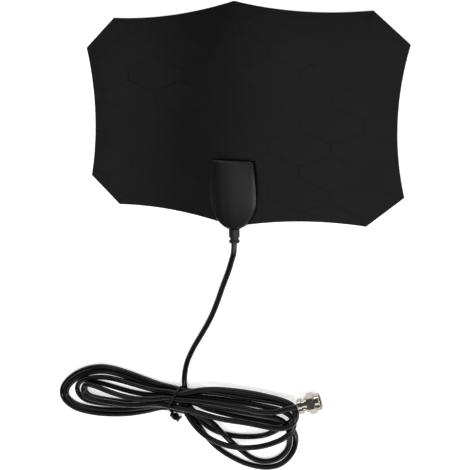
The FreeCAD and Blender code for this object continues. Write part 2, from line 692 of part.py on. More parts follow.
def crimp_sleeve():
    """Sleeve pressed on the cable, with a flange at each end."""
    bore = CABLE_R + CABLE_CLEAR
    front_bore = POST_TAIL_R + SEAT_CLEAR
    profile = [
        (0, bore),
        (0, SLEEVE_FLANGE_R - SLEEVE_BEVEL),
        (SLEEVE_BEVEL, SLEEVE_FLANGE_R),
        (SLEEVE_REAR_T, SLEEVE_FLANGE_R),
        (SLEEVE_REAR_T, SLEEVE_R),
        (SLEEVE_LENGTH - SLEEVE_FRONT_T, SLEEVE_R),
        (SLEEVE_LENGTH - SLEEVE_FRONT_T, SLEEVE_FLANGE_R),
        (SLEEVE_LENGTH, SLEEVE_FLANGE_R),
        (SLEEVE_LENGTH, front_bore),
        (SLEEVE_DEPTH, front_bore),
        (SLEEVE_DEPTH, bore),
    ]
    return turned(profile, plug_place(0), plug_axis())


def connector_post():
    """Tube inside the sleeve with a neck that the nut turns on and a flange that holds it."""
    neck_end = SLEEVE_LENGTH + POST_NECK
    front = neck_end + POST_FLANGE_T
    bore = PLUG_DIELECTRIC_R + PIN_CLEAR
    profile = [
        (SLEEVE_DEPTH + SEAT_CLEAR, bore),
        (SLEEVE_DEPTH + SEAT_CLEAR, POST_TAIL_R),
        (SLEEVE_LENGTH, POST_TAIL_R),
        (SLEEVE_LENGTH, POST_NECK_R),
        (neck_end, POST_NECK_R),
        (neck_end, POST_FLANGE_R),
        (front, POST_FLANGE_R),
        (front, bore),
    ]
    return turned(profile, plug_place(0), plug_axis())


def coupling_nut():
    """Hexagon nut with a round collar in front, a plain bore for the thread and a lip behind the flange."""
    rear = SLEEVE_LENGTH + NUT_END_CLEAR
    front = rear + NUT_LENGTH
    hexagon_end = rear + NUT_HEX
    corner_r = NUT_FLATS / math.sqrt(3)
    collar_r = NUT_FLATS / 2 - NUT_COLLAR_STEP
    groove_r = collar_r - NUT_GROOVE_DEPTH
    turns = [math.radians(60 * i) for i in range(7)]
    stops = [V(corner_r * math.cos(a), corner_r * math.sin(a), 0) for a in turns]
    hexagon = Part.Face(Part.makePolygon(stops)).extrude(V(0, 0, NUT_LENGTH))
    hexagon.rotate(V(0, 0, 0), Z_AXIS, PLUG_ANGLE + 30 - NUT_ROLL)
    hexagon.rotate(V(0, 0, 0), Z_AXIS.cross(plug_axis()), 90 + PLUG_TILT)
    hexagon.translate(plug_place(rear))
    bevelled = turned([
        (rear, 0),
        (rear, corner_r - NUT_CHAMFER),
        (rear + NUT_CHAMFER / 2, corner_r),
        (hexagon_end - NUT_HEX_BEVEL, corner_r),
        (hexagon_end, collar_r),
        (hexagon_end, groove_r),
        (hexagon_end + NUT_GROOVE, groove_r),
        (hexagon_end + NUT_GROOVE, collar_r),
        (front - NUT_COLLAR_BEVEL, collar_r),
        (front, collar_r - NUT_COLLAR_BEVEL),
        (front, 0),
    ], plug_place(0), plug_axis())
    bore = turned([
        (rear - CUT, 0),
        (rear - CUT, POST_NECK_R + NUT_RUN_CLEAR),
        (rear + NUT_LIP, POST_NECK_R + NUT_RUN_CLEAR),
        (rear + NUT_LIP, NUT_BORE_R),
        (front - NUT_CHAMFER, NUT_BORE_R),
        (front + CUT, NUT_BORE_R + NUT_CHAMFER + CUT),
        (front + CUT, 0),
    ], plug_place(0), plug_axis())
    return hexagon.common(bevelled).cut(bore)


def plug_dielectric():
    front = SLEEVE_LENGTH + POST_NECK + POST_FLANGE_T
    profile = [
        (SLEEVE_DEPTH + SEAT_CLEAR, PIN_R + PIN_CLEAR),
        (SLEEVE_DEPTH + SEAT_CLEAR, PLUG_DIELECTRIC_R),
        (front, PLUG_DIELECTRIC_R),
        (front, PIN_R + PIN_CLEAR),
    ]
    return turned(profile, plug_place(0), plug_axis())


def centre_pin():
    front = SLEEVE_LENGTH + NUT_END_CLEAR + NUT_LENGTH - PIN_SHORT
    start = SLEEVE_DEPTH + SEAT_CLEAR
    profile = [(start, 0), (start, PIN_R), (front - PIN_R, PIN_R), (front, PIN_R / 2), (front, 0)]
    return turned(profile, plug_place(0), plug_axis())


def main():
    nodes = films_and_conductors()
    nodes["front_cover"] = front_cover()
    nodes["rear_cover"] = rear_cover()
    nodes["circuit_board"] = circuit_board()
    for name, (x, y) in zip(("left_rivet", "right_rivet"), rivet_places()):
        nodes[name] = contact_rivet(x, y)
    nodes["balun_core"] = balun_core()
    nodes["balun_winding"] = balun_winding()
    nodes["chip_capacitors"] = chip_capacitors()
    nodes["cable_inner_end"] = cable_inner_end()
    nodes["cable_dielectric"] = cable_dielectric()
    nodes["core_wire"] = board_wire("core_wire", 0.0, 0.0, CORE_WIRE_R)
    nodes["braid_tail"] = board_wire("braid_tail", BRAID_X, BRAID_PAD_X, BRAID_R)
    nodes["strain_relief"] = strain_relief()
    nodes["cable_lead"] = cable_lead()
    nodes["cable_hank"] = cable_hank()
    nodes["cable_tie"] = cable_tie()
    nodes["cable_tail"] = cable_tail(nodes["cable_hank"])
    nodes["crimp_sleeve"] = crimp_sleeve()
    nodes["connector_post"] = connector_post()
    nodes["coupling_nut"] = coupling_nut()
    nodes["plug_dielectric"] = plug_dielectric()
    nodes["centre_pin"] = centre_pin()

    os.makedirs("parts", exist_ok=True)
    for name, shape in nodes.items():
        print(name, "solids", len(shape.Solids), "valid", shape.isValid(), "volume", round(shape.Volume, 2))
        shape.exportStep("parts/" + name + ".step")


main()
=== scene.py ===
import json
import math
from collections import namedtuple

import bpy
import numpy as np
from mathutils import Matrix, Vector


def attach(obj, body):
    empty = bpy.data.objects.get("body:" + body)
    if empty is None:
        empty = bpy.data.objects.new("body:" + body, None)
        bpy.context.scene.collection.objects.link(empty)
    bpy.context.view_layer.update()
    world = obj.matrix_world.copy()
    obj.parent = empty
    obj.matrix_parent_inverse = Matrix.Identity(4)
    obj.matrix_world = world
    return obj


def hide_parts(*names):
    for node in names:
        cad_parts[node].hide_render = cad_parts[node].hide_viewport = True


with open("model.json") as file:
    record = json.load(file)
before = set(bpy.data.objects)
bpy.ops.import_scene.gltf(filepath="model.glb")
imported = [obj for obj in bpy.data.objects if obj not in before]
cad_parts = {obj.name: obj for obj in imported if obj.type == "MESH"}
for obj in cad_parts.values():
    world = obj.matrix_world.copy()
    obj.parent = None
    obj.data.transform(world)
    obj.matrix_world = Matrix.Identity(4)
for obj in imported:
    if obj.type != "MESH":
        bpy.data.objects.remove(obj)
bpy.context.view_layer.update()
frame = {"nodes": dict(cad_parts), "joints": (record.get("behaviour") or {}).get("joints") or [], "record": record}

# Camera, fitted to the corners of the film
CAMERA_AT = (0.22773, 0.05279, 0.45740)
CAMERA_TURN = (-14.0111, 26.4473, -0.8498)      # degrees
CAMERA_LENS = 61.938                            # millimetres
CAMERA_SENSOR = 36.0                            # width, millimetres
CAMERA_NEAR = 0.01                              # nearest distance that it shows


def add_object(name, data):
    """A new object of that data, in the scene."""
    piece = bpy.data.objects.new(name, data)
    bpy.context.collection.objects.link(piece)
    return piece


def photo_camera():
    lens = bpy.data.cameras.new("camera")
    lens.sensor_width = CAMERA_SENSOR
    lens.lens = CAMERA_LENS
    lens.clip_start = CAMERA_NEAR
    camera = add_object("camera", lens)
    camera.location = CAMERA_AT
    camera.rotation_euler = [math.radians(a) for a in CAMERA_TURN]
    return camera


bpy.context.scene.camera = photo_camera()
bpy.context.scene.view_settings.view_transform = "Standard"

# Plug: its rear end and the axis that its nut turns about
NUT_SPIN = frame["joints"][0]
PLUG_REAR = Vector(NUT_SPIN["pos_m"])
PLUG_AXIS = Vector(NUT_SPIN["axis"])

# Cable: facts and route
CABLE_D = 0.0038
CABLE_SECTION = 6                               # fineness of its round section
CABLE_FINENESS = 8                              # steps from one control point to the next
CABLE_CLEAR = 0.00005                           # over the floor
FLOOR_Z = CABLE_D / 2 + CABLE_CLEAR             # centre of a cable that lies on the floor
NECK = (-0.0460, -0.1935)                       # middle of the tied turns
NECK_HALF = 0.005

# From the boot to the hank, as in the part's source
LEAD = [
    (0.0, -0.0663, 0.00436), (0.0, -0.0811, 0.00436), (-0.0028, -0.0879, 0.0032),
    (-0.0058, -0.0959, 0.00195), (-0.0103, -0.1066, 0.00195), (-0.0146, -0.1184, 0.00195),
    (-0.0198, -0.1305, 0.00195), (-0.0272, -0.1431, 0.00195), (-0.0352, -0.156, 0.00195),
    (-0.0409, -0.1689, 0.00195), (-0.0428, -0.1846, 0.00195),
]
LEAD_TURN = [(-0.0380, -0.1926)]
# Guide loops of the hank, seen from above: each half of a turn lies on one of them or between two
LEFT_OUTER = [
    (-0.0627, -0.1880), (-0.0753, -0.1858), (-0.0881, -0.1834), (-0.1012, -0.1817),
    (-0.114, -0.1822), (-0.128, -0.1872), (-0.1413, -0.1956), (-0.151, -0.206), (-0.1512, -0.215),
    (-0.14, -0.2204), (-0.1216, -0.2201), (-0.105, -0.2174), (-0.0897, -0.2136), (-0.0740, -0.2078),
    (-0.0615, -0.2024),
]
LEFT_INNER = [
    (-0.06, -0.1946), (-0.0715, -0.1970), (-0.082, -0.1978), (-0.093, -0.1976), (-0.104, -0.1966),
    (-0.1140, -0.1953), (-0.1238, -0.1950), (-0.1272, -0.1986), (-0.1272, -0.2034),
    (-0.1238, -0.2068), (-0.112, -0.2069), (-0.1, -0.206), (-0.087, -0.2050), (-0.0745, -0.2020),
    (-0.0615, -0.1976),
]
RIGHT_OUTER = [
    (-0.0355, -0.2036), (-0.0255, -0.2182), (-0.015, -0.2268), (0.0006, -0.2323), (0.0121, -0.2333),
    (0.0225, -0.232), (0.0323, -0.2272), (0.0396, -0.218), (0.0424, -0.2093), (0.0418, -0.2007),
    (0.0354, -0.1966),
]
RIGHT_INNER = [
    (-0.0365, -0.2022), (-0.0274, -0.2112), (-0.0160, -0.2146), (-0.003, -0.2146), (0.0085, -0.2121),
    (0.0175, -0.2089), (0.0262, -0.2043), (0.0350, -0.1988), (0.0422, -0.1928), (0.0424, -0.1864),
    (0.034, -0.1828),
]
RIGHT_CROSSING = [
    (-0.0345, -0.2002), (-0.0239, -0.2036), (-0.0172, -0.2062), (-0.0115, -0.2100), (-0.0050, -0.2166),
    (0.0018, -0.2232), (0.0100, -0.2280), (0.0195, -0.2285), (0.0295, -0.2240), (0.0367, -0.2157),
    (0.0393, -0.2080), (0.0395, -0.1986), (0.0348, -0.1909),
]
RIGHT_NARROW = [
    (-0.034, -0.1970), (-0.02, -0.1991), (-0.0067, -0.2000), (0.0086, -0.1988), (0.0235, -0.1984),
    (0.0350, -0.1970), (0.0425, -0.1932), (0.0458, -0.1880), (0.0450, -0.1824), (0.0400, -0.1792),
    (0.029, -0.1781),
]
# Upper runs of the right loops lie side by side: the topmost, and the share of its full distance
# from the topmost that each other one has there
UPPER_RUN = [
    (0.0120, -0.1778, 1.0), (-0.0020, -0.1784, 1.0), (-0.0160, -0.1796, 0.93), (-0.0290, -0.1822, 0.74),
]
# From the last turn to the plug
TAIL = [
    (-0.03, -0.1895), (-0.016, -0.1884), (-0.003, -0.1879), (0.009, -0.1874), (0.02, -0.1876),
    (0.031, -0.1856), (0.0385, -0.1817), (0.04519, -0.17873), (0.05007, -0.17705),
]
TAIL_HEIGHTS = [0.0112, 0.01163, 0.01005]       # of its last points, held by the plug


def between(first, second, start, end):
    """A loop between two guides; the share of the second goes from start to end."""
    points = []
    for i, (a, b) in enumerate(zip(first, second)):
        share = start + (end - start) * i / (len(first) - 1)
        points.append(tuple(u + (v - u) * share for u, v in zip(a, b)))
    return points


# For each turn: its right loop, how far its upper run is below the topmost, the share of the inner
# left guide at the two ends of its left loop, and where it passes the tie on its way out and back
Turn = namedtuple("Turn", "right drop left out back")
TURNS = [
    Turn(RIGHT_OUTER, drop=0.0202, left=(0.0, 0.0), out=-0.0086, back=0.00585),
    Turn(RIGHT_INNER, drop=0.0059, left=(0.97, 0.86), out=-0.0028, back=0.00195),
    Turn(RIGHT_CROSSING, drop=0.0145, left=(0.20, 0.10), out=-0.0060, back=0.0039),
    Turn(between(RIGHT_OUTER, RIGHT_INNER, 0.70, 0.80), drop=0.0083, left=(0.24, 1.0),
         out=0.0, back=0.00585),
    Turn(RIGHT_NARROW, drop=0.0, left=(1.06, 1.0), out=-0.0034, back=0.00195),
]

# How the turns settle
SETTLE_ROUNDS = 160
SETTLE_STEP = 0.0022                            # between the places where turns are kept apart
SETTLE_FALL = 0.00018                           # each round
SETTLE_HOLD = 0.14                              # pull back to the guide loops, each round
SETTLE_SMOOTH = 0.20                            # share of a point's unevenness taken away at a time
SETTLE_SMOOTHINGS = 2                           # each round
SETTLE_PUSHES = 3                               # each round
SETTLE_LEAST = 0.6                              # a point near few struck places moves less than they do
SETTLE_APART = 4 * CABLE_D                      # along the cable, between places that may meet
SETTLE_NEAR = 2.6 * CABLE_D                     # places further apart than this never meet
SETTLE_LOOSE = 0.01                             # keeps the share of two held places finite
SETTLE_TINY = 1e-9                              # keeps the direction of two equal places finite
TURN_RISE = 0.0180                              # start height for each metre of cable, so that later
                                                # turns come to lie on earlier ones
TIE_LIFT = 0.0008                               # the tie's band is under the turns
TIE_LIFT_REACH = 0.010                          # each way from the neck's middle


def pass_tie(offset, way):
    """Two points of a run through the tie; way is 1 to the left and -1 to the right."""
    return [(NECK[0] + way * along, NECK[1] + offset) for along in (NECK_HALF, -NECK_HALF)]


def turn_points():
    """The hank's turns, seen from above, in the order in which the cable was wound."""
    points = []
    for turn in TURNS:
        points += [(x, y - turn.drop * share) for x, y, share in UPPER_RUN[::-1]]
        points += turn.right[::-1]
        points += pass_tie(turn.out, 1)
        points += between(LEFT_OUTER, LEFT_INNER, *turn.left)[::-1]
        points += pass_tie(turn.back, -1)
    return points


def distances_along(points):
    """How far each point is along the line through them all."""
    return np.concatenate([[0], np.cumsum(np.linalg.norm(np.diff(points, axis=0), axis=1))])


def spline_weights(points, step):
    """Rows of weights that give places along the order-3 spline with these control points."""
    count = len(points)
    rows = []
    for i in range(count - 2):
        run = math.dist(points[i], points[i + 1]) / 2 + math.dist(points[i + 1], points[i + 2]) / 2
        parts = max(2, round(run / step))
        for k in range(parts):
            t = k / parts
            first, last = (1 - t) ** 2 / 2, t * t / 2
            if i == 0:
                first *= 2
            if i == count - 3:
                last *= 2
            row = np.zeros(count)
            row[i] = first
            row[i + 1] = 1 - first - last
            row[i + 2] = last
            rows.append(row)
    row = np.zeros(count)
    row[-1] = 1
    rows.append(row)
    return np.array(rows)


def pairs_that_may_meet(weights, aim, run, free):
    """Pairs of places on two stretches of the cable, and the second's share of a push apart."""
    along = weights @ run
    seen = weights @ aim
    i, j = np.triu_indices(len(seen), 1)
    near = (along[j] - along[i] > SETTLE_APART) & (
        np.linalg.norm(seen[i] - seen[j], axis=1) < SETTLE_NEAR)
    i, j = i[near], j[near]
    loose = weights @ free
    return i, j, loose[j] / np.maximum(loose[i] + loose[j], SETTLE_LOOSE)


def lowest_heights(seen):
    """Least height of places seen from above: on the floor, or on the tie's band."""
    low = np.full(len(seen), FLOOR_Z)
    across = np.abs(seen - np.array(NECK))
    low[(across[:, 0] < NECK_HALF / 2) & (across[:, 1] < TIE_LIFT_REACH)] += TIE_LIFT
    return low


def push_apart(points, weights, pairs, low):
    """How each control point moves to part the places that meet and lift those that are too low."""
    i, j, second_share = pairs
    place = weights @ points
    gap = place[i] - place[j]
    dist = np.linalg.norm(gap, axis=1) + SETTLE_TINY
    hit = dist < CABLE_D
    push = ((CABLE_D - dist[hit]) / dist[hit])[:, None] * gap[hit]
    move = np.zeros_like(place)
    np.add.at(move, i[hit], push * (1 - second_share[hit, None]))
    np.add.at(move, j[hit], -push * second_share[hit, None])
    move[:, 2] = np.maximum(move[:, 2], low - place[:, 2])
    struck = weights.T @ (np.abs(move).sum(axis=1) > 0)
    return weights.T @ move / np.maximum(struck, SETTLE_LEAST)[:, None]


def settle():
    """The cable's control points after its turns have sunk on to the floor and each other, and
    the weights that give places along it."""
    plan = [p[:2] for p in LEAD] + LEAD_TURN + turn_points() + TAIL
    aim = np.array(plan)
    weights = spline_weights(plan, SETTLE_STEP)
    run = distances_along(aim)
    held, held_end = len(LEAD), len(TAIL_HEIGHTS)
    height = FLOOR_Z + np.maximum(0, run - run[held]) * TURN_RISE
    height[:held] = [p[2] for p in LEAD]
    points = np.column_stack([aim, height])
    level = np.column_stack([aim, np.zeros(len(aim))])
    free = np.ones(len(points), bool)
    free[:held] = False
    free[-held_end:] = False
    pairs = pairs_that_may_meet(weights, aim, run, free)
    low = lowest_heights(weights @ aim)
    for _ in range(SETTLE_ROUNDS):
        points[free, 2] -= SETTLE_FALL
        points[-held_end:, 2] = np.maximum(TAIL_HEIGHTS, points[-held_end:, 2] - SETTLE_FALL)
        for _ in range(SETTLE_SMOOTHINGS):
            off = points - level
            uneven = off[1:-1] - (off[:-2] + off[2:]) / 2
            points[1:-1] -= SETTLE_SMOOTH * uneven * free[1:-1, None]
        points[free, :2] += SETTLE_HOLD * (aim[free] - points[free, :2])
        for _ in range(SETTLE_PUSHES):
            points[free] += push_apart(points, weights, pairs, low)[free]
            points[free, 2] = np.maximum(points[free, 2], FLOOR_Z)
    return points, weights


def cable_curve(points):
    """The cable as one smooth curve with those control points."""
    curve = bpy.data.curves.new("coax_cable", "CURVE")
    curve.dimensions = "3D"
    curve.bevel_depth = CABLE_D / 2
    curve.bevel_resolution = CABLE_SECTION
    curve.use_fill_caps = True
    spline = curve.splines.new("NURBS")
    spline.points.add(len(points) - 1)
    for point, place in zip(spline.points, points):
        point.co = (*place, 1.0)
    spline.order_u = 3
    spline.use_endpoint_u = True
    spline.resolution_u = CABLE_FINENESS
    return add_object("coax_cable", curve)


cable_points, cable_weights = settle()
cable_line = cable_weights @ cable_points
cable = cable_curve(cable_points)

# Mesh helpers
SMOOTH_ANGLE = math.radians(40.0)               # edges sharper than this stay crisp


def add_mesh(name, verts, faces):
    """A new mesh object, smooth but for its sharp edges."""
    mesh = bpy.data.meshes.new(name)
    mesh.from_pydata([tuple(v) for v in verts], [], faces)
    mesh.validate()
    mesh.shade_smooth()
    mesh.set_sharp_from_angle(angle=SMOOTH_ANGLE)
    return add_object(name, mesh)


def sweep(sections, closed):
    """Vertices and faces of a skin over sections of equal point counts."""
    count = len(sections[0])
    verts = [p for section in sections for p in section]
    faces = []
    spans = len(sections) if closed else len(sections) - 1
    for s in range(spans):
        a, b = s * count, (s + 1) % len(sections) * count
        for k in range(count):
            n = (k + 1) % count
            faces.append((a + k, a + n, b + n, b + k))
    if not closed:
        faces.append(tuple(range(count - 1, -1, -1)))
        faces.append(tuple(range(len(verts) - count, len(verts))))
    return verts, faces


# Tie round the hank
TIE_X = -0.0477                                 # where it crosses the neck's middle
TIE_SLANT = 0.45                                # in x for each unit of y
TIE_REACH = 0.012                               # each way from the neck's middle to the tied runs
TIE_WIDTH = 0.0017
TIE_T = 0.0007
TIE_CLEAR = 0.00005
TIE_ROUND = 0.0002                              # of the band's edges
TIE_CROWN = 0.00008                             # rise of the band's outer face
TIE_CROWN_HALF = 0.35                           # of half the band's width
TIE_RIM = 24                                    # points round each tied run
TIE_SECTIONS = 96                               # round the band
TWIST_AT = 0.0031                               # height of the twisted ends
TWIST_LENGTH = 0.0076
TWIST_ANGLE = math.radians(-22.0)
TWIST_TURNS = 0.8
TWIST_R = 0.00135                               # of each end's path about the other
TWIST_ROOT = 0.35                               # of that radius, where the ends leave the band
TWIST_SPREAD = 4                                # how fast they reach it, for each whole length
TWIST_STRAND = (0.00140, 0.00180)               # half of each end's thickness and width
TWIST_STEPS = 28
TWIST_SIDES = 12


def hull(points):
    """Convex outline of points in a plane, counter-clockwise."""
    points = sorted(set(points))
    half = []
    for run in (points, points[::-1]):
        chain = []
        for p in run:
            while len(chain) > 1 and (
                    (chain[-1][0] - chain[-2][0]) * (p[1] - chain[-2][1])
                    - (chain[-1][1] - chain[-2][1]) * (p[0] - chain[-2][0])) <= 0:
                chain.pop()
            chain.append(p)
        half += chain[:-1]
    return half


def tie_x(y):
    """Where the slanted tie is in x, at a place in y."""
    return TIE_X + TIE_SLANT * (y - NECK[1])


def tied_runs():
    """Where the cable's runs pass the tie, in y and z."""
    places = []
    off = cable_line[:, 0] - tie_x(cable_line[:, 1])
    for k in range(len(off) - 1):
        (_, ya, za), (_, yb, zb) = cable_line[k], cable_line[k + 1]
        if off[k] * off[k + 1] <= 0 and off[k] != off[k + 1] and abs(ya - NECK[1]) < TIE_REACH:
            t = off[k] / (off[k] - off[k + 1])
            places.append((ya + t * (yb - ya), za + t * (zb - za)))
    return places


def tie_outline():
    """Middle line of the tie's band, drawn round the runs and along the floor."""
    reach = CABLE_D / 2 + TIE_CLEAR + TIE_T / 2
    lowest = TIE_T / 2 + TIE_CLEAR
    rim = []
    for y, z in tied_runs():
        for k in range(TIE_RIM):
            a = 2 * math.pi * k / TIE_RIM
            rim.append((round(y + reach * math.cos(a), 6), round(max(z + reach * math.sin(a), lowest), 6)))
    return hull(rim)


def even_loop(points, count):
    """Points at equal distances round a closed line."""
    loop = np.array(points + points[:1])
    run = distances_along(loop)
    at = np.linspace(0, run[-1], count, endpoint=False)
    return [tuple(np.interp(at_k, run, loop[:, c]) for c in (0, 1)) for at_k in at]


def band_sections(loop):
    """Sections of the flat band, with rounded edges and a slightly crowned outer face."""
    w, t, r = TIE_WIDTH / 2, TIE_T / 2, TIE_ROUND
    crown, top = TIE_CROWN_HALF * w, t + TIE_CROWN
    shape = [(w - r, -t), (w, -t + r), (w, t - r), (w - r, t), (crown, top),
             (-crown, top), (-w + r, t), (-w, t - r), (-w, -t + r), (-w + r, -t)]
    sections = []
    for k, (y, z) in enumerate(loop):
        ya, za = loop[k - 1]
        yb, zb = loop[(k + 1) % len(loop)]
        out = Vector((0, zb - za, ya - yb)).normalized()
        sections.append([Vector((tie_x(y) + s, y, z)) + out * h for s, h in shape])
    return sections


def twist_sections(start, phase):
    """One of the tie's two ends, wound about the other."""
    along = Vector((math.cos(TWIST_ANGLE), math.sin(TWIST_ANGLE), 0))
    side = Vector((-along.y, along.x, 0))
    up = Vector((0, 0, 1))
    thick, wide = TWIST_STRAND
    sections = []
    for k in range(TWIST_STEPS + 1):
        share = k / TWIST_STEPS
        a = phase + 2 * math.pi * TWIST_TURNS * share
        out = side * math.cos(a) + up * math.sin(a)
        flat = -side * math.sin(a) + up * math.cos(a)
        grow = min(1.0, TWIST_ROOT + TWIST_SPREAD * share)
        centre = start + along * (TWIST_LENGTH * share) + out * TWIST_R * grow
        ring = []
        for n in range(TWIST_SIDES):
            b = 2 * math.pi * n / TWIST_SIDES
            ring.append(centre + out * thick * math.cos(b) + flat * wide * math.sin(b))
        sections.append(ring)
    return sections


def tie():
    """The tie's band and its two twisted ends."""
    loop = even_loop(tie_outline(), TIE_SECTIONS)
    verts, faces = sweep(band_sections(loop), True)
    foot = min(loop, key=lambda p: p[0] + abs(p[1] - TWIST_AT))
    start = Vector((tie_x(foot[0]), foot[0] - TWIST_R, TWIST_AT))
    for phase in (0.0, math.pi):
        more, sides = sweep(twist_sections(start, phase), False)
        faces += [tuple(i + len(verts) for i in f) for f in sides]
        verts = verts + more
    return add_mesh("twist_tie", verts, faces)


twist_tie = tie()

# Thread in the coupling nut
THREAD_PITCH = 0.000794
THREAD_FROM, THREAD_TO = 0.0104, 0.0144         # from the plug's rear end
THREAD_ROOT_R = 0.00450
THREAD_CREST_R = 0.00412
THREAD_ROOT_HALF = 0.48                         # half the ridge's width at its root, in pitches
THREAD_CREST_HALF = 0.08                        # and at its crest
THREAD_STEPS = 40                               # to a turn
THREAD_FADE = 3                                 # how fast the ridge grows at its ends, for each turn
THREAD_LEAST = 0.02                             # share of its height where it starts


def thread():
    """A ridge wound along the nut's bore, which fades at both ends."""
    side = Vector((0, 0, 1)).cross(PLUG_AXIS).normalized()
    up = PLUG_AXIS.cross(side)
    length = THREAD_TO - THREAD_FROM
    turns = length / THREAD_PITCH
    shape = [(-THREAD_ROOT_HALF, THREAD_ROOT_R), (-THREAD_CREST_HALF, THREAD_CREST_R),
             (THREAD_CREST_HALF, THREAD_CREST_R), (THREAD_ROOT_HALF, THREAD_ROOT_R)]
    steps = round(turns * THREAD_STEPS)
    sections = []
    for k in range(steps + 1):
        a = 2 * math.pi * turns * k / steps
        from_end = min(k, steps - k) / THREAD_STEPS
        fade = min(1.0, THREAD_LEAST + THREAD_FADE * from_end)
        section = []
        for along, r in shape:
            r = THREAD_ROOT_R - (THREAD_ROOT_R - r) * fade
            d = THREAD_FROM + length * k / steps + along * THREAD_PITCH
            section.append(PLUG_REAR + PLUG_AXIS * d + (side * math.cos(a) + up * math.sin(a)) * r)
        sections.append(section)
    return add_mesh("nut_thread", *sweep(sections, False))


nut_thread = thread()

# Materials
WAVE_RATE = 20                                  # radians for each unit of a wave texture at scale 1


def math_node(tree, operation, first, second):
    """Output of a sum on a socket and a number or another socket."""
    node = tree.nodes.new("ShaderNodeMath")
    node.operation = operation
    tree.links.new(first, node.inputs[0])
    if isinstance(second, float):
        node.inputs[1].default_value = second
    else:
        tree.links.new(second, node.inputs[1])
    return node.outputs["Value"]


class Surface:
    """A procedural material in the making, in the row frame's metres."""

    def __init__(self, name, **sockets):
        self.material = bpy.data.materials.new(name)
        self.material.use_nodes = True
        self.tree = self.material.node_tree
        self.nodes = self.tree.nodes
        self.links = self.tree.links
        self.shader = self.nodes["Principled BSDF"]
        for socket, value in sockets.items():
            self.shader.inputs[socket.replace("_", " ")].default_value = value
        self.place = self.nodes.new("ShaderNodeTexCoord").outputs["Object"]
        self.normal = None

    def turned(self, turn):
        """The coordinates turned."""
        node = self.nodes.new("ShaderNodeMapping")
        node.inputs["Rotation"].default_value = turn
        self.links.new(self.place, node.inputs["Vector"])
        return node.outputs["Vector"]

    def noise(self, size, detail=2.0):
        """Noise whose blotches are about size metres across."""
        node = self.nodes.new("ShaderNodeTexNoise")
        node.inputs["Scale"].default_value = 1 / size
        node.inputs["Detail"].default_value = detail
        self.links.new(self.place, node.inputs["Vector"])
        return node.outputs["Fac"]

    def cells(self, size):
        """Rounded cells about size metres across."""
        node = self.nodes.new("ShaderNodeTexVoronoi")
        node.inputs["Scale"].default_value = 1 / size
        self.links.new(self.place, node.inputs["Vector"])
        return node.outputs["Distance"]

    def rings(self, pitch, place):
        """Fine uneven lines across the place's X."""
        node = self.nodes.new("ShaderNodeTexWave")
        node.inputs["Scale"].default_value = 2 * math.pi / pitch / WAVE_RATE
        node.inputs["Distortion"].default_value = 1.5
        node.inputs["Detail"].default_value = 2.0
        self.links.new(place, node.inputs["Vector"])
        return node.outputs["Fac"]

    def above_bend(self, top_y, low_z, radius, start, end):
        """From 0 to 1 between two heights above a sheet that is flat at low_z and bends down
        in an arc of that radius from top_y on."""
        split = self.nodes.new("ShaderNodeSeparateXYZ")
        self.links.new(self.place, split.inputs["Vector"])
        beyond = math_node(self.tree, "MAXIMUM", split.outputs["Y"], top_y)
        profile = self.nodes.new("ShaderNodeCombineXYZ")
        self.links.new(beyond, profile.inputs["Y"])
        self.links.new(split.outputs["Z"], profile.inputs["Z"])
        reach = self.nodes.new("ShaderNodeVectorMath")
        reach.operation = "DISTANCE"
        reach.inputs[1].default_value = (0, top_y, low_z - radius)
        self.links.new(profile.outputs["Vector"], reach.inputs[0])
        return self.spread(reach.outputs["Value"], 0, 1, radius + start, radius + end)

    def spread(self, value, low, high, start=0.3, end=0.7):
        """Value's range from start to end, stretched to low to high."""
        node = self.nodes.new("ShaderNodeMapRange")
        for socket, number in (("From Min", start), ("From Max", end), ("To Min", low), ("To Max", high)):
            node.inputs[socket].default_value = number
        self.links.new(value, node.inputs["Value"])
        return node.outputs["Result"]

    def colour(self, value, low, high, start=0.35, end=0.65):
        """The base colour, which goes from low to high as value goes from start to end."""
        node = self.nodes.new("ShaderNodeValToRGB")
        for stop, place, shade in zip(node.color_ramp.elements, (start, end), (low, high)):
            stop.position = place
            stop.color = (*shade, 1)
        self.links.new(value, node.inputs["Fac"])
        self.links.new(node.outputs["Color"], self.shader.inputs["Base Color"])

    def paint_shade(self, value, colour):
        """Painted shade: goes over from the base colour so far to another where value is 1."""
        node = self.nodes.new("ShaderNodeMix")
        node.data_type = "RGBA"
        base = self.shader.inputs["Base Color"]
        self.links.new(base.links[0].from_socket, node.inputs["A"])
        node.inputs["B"].default_value = (*colour, 1)
        self.links.new(value, node.inputs["Factor"])
        self.links.new(node.outputs["Result"], base)

    def roughness(self, value, low, high):
        """Roughness between low and high."""
        self.links.new(self.spread(value, low, high), self.shader.inputs["Roughness"])

    def bump(self, value, depth, strength):
        """Adds relief of about depth metres."""
        node = self.nodes.new("ShaderNodeBump")
        node.inputs["Distance"].default_value = depth
        node.inputs["Strength"].default_value = strength
        self.links.new(value, node.inputs["Height"])
        if self.normal:
            self.links.new(self.normal, node.inputs["Normal"])
        self.normal = node.outputs["Normal"]
        self.links.new(self.normal, self.shader.inputs["Normal"])


# The film lies on the rear cover and bends down to the floor from the housing's upper edge on
FILM_BACK_Z = 0.0040
FILM_TOP_Y = -0.0215
FILM_BEND = 0.0968                              # from there to the upper peak
FILM_BEND_R = (FILM_BEND ** 2 + FILM_BACK_Z ** 2) / (2 * FILM_BACK_Z)
FILM_SHADED_LINES = (0.00063, 0.00069)                 # above the back; the conductor's lines stand out there and get painted shade
